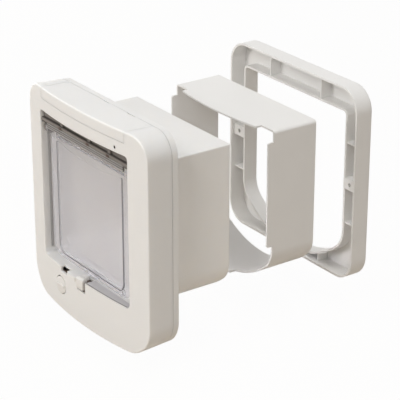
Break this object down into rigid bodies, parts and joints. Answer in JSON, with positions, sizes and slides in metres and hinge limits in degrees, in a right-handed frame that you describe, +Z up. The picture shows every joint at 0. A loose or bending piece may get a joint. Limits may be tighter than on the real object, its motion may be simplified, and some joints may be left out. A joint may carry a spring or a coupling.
{
  "type": "cat flap",
  "caption": "Microchip cat flap shown taken apart: indoor unit with clear swinging flap and short tunnel, a tunnel extension sleeve and an outdoor frame.",
  "frame": {"origin": "on the tunnel's axis, in the plane where the indoor frame meets the door", "axes": "+Y from indoors to outdoors along the tunnel, +Z up, +X to the right as seen from indoors"},
  "size_m": [0.2122, 0.2801, 0.2305],
  "materials": {
    "white_plastic": "satin",
    "clear_plastic": "polished",
    "grey_plastic": "satin",
    "dark_foam": "matt",
    "steel": "plain",
    "magnet": "plain",
    "contact_metal": "plated",
    "copper_wire": "enamelled",
    "board": "lacquered",
    "cell_jacket": "gloss",
    "button_plastic": "gloss",
    "dark_lens": "gloss"
  },
  "bodies": {
    "main_unit": {"front_bezel": "white_plastic", "rear_shell": "white_plastic", "hinge_pins": "steel", "hinge_cover": "grey_plastic", "top_seal": "dark_foam", "catch_guide": "white_plastic", "front_solenoid": "steel", "rear_solenoid": "steel", "sill_magnet": "magnet", "dial_bush": "grey_plastic", "battery_tray": "grey_plastic", "battery_cells": "cell_jacket", "contact_plates": "contact_metal", "learn_switch": "grey_plastic", "circuit_board": "board", "board_screws": "steel", "aerial_coil": "copper_wire", "casing_screws": "steel", "indicator_lens": "dark_lens"},
    "flap": {"flap_panel": "clear_plastic", "flap_magnet": "magnet"},
    "front_lock": {"front_catch": "white_plastic"},
    "rear_lock": {"rear_catch": "white_plastic"},
    "dial": {"lock_dial": "white_plastic", "lock_cam": "grey_plastic"},
    "cover": {"battery_cover": "white_plastic"},
    "button": {"learn_button": "button_plastic"},
    "extension": {"tunnel_extension": "white_plastic"},
    "outdoor_frame": {"outer_frame": "white_plastic"}
  },
  "joints": [
    {"name": "flap_swing", "type": "hinge", "parent": "main_unit", "child": "flap", "pos_m": [0, -0.03, 0.0783], "axis": [1, 0, 0], "range_deg": [-70, 70]},
    {"name": "front_catch_lift", "type": "slide", "parent": "main_unit", "child": "front_lock", "axis": [0, 0, 1], "range_m": [0, 0.006]},
    {"name": "rear_catch_lift", "type": "slide", "parent": "main_unit", "child": "rear_lock", "axis": [0, 0, 1], "range_m": [0, 0.006]},
    {"name": "dial_turn", "type": "hinge", "parent": "main_unit", "child": "dial", "pos_m": [-0.043, -0.0405, -0.0805], "axis": [0, -1, 0], "range_deg": [-270, 0]},
    {"name": "cover_lift", "type": "slide", "parent": "main_unit", "child": "cover", "axis": [0, 0, 1], "range_m": [0, 0.03]},
    {"name": "learn_press", "type": "slide", "parent": "main_unit", "child": "button", "axis": [0, 0, -1], "range_m": [0, 0.001], "stiffness_N_per_m": 300},
    {"name": "extension_slide", "type": "slide", "parent": "main_unit", "child": "extension", "axis": [0, 1, 0], "range_m": [-0.115, 0]},
    {"name": "frame_slide", "type": "slide", "parent": "extension", "child": "outdoor_frame", "axis": [0, 1, 0], "range_m": [-0.059, 0]}
  ]
}
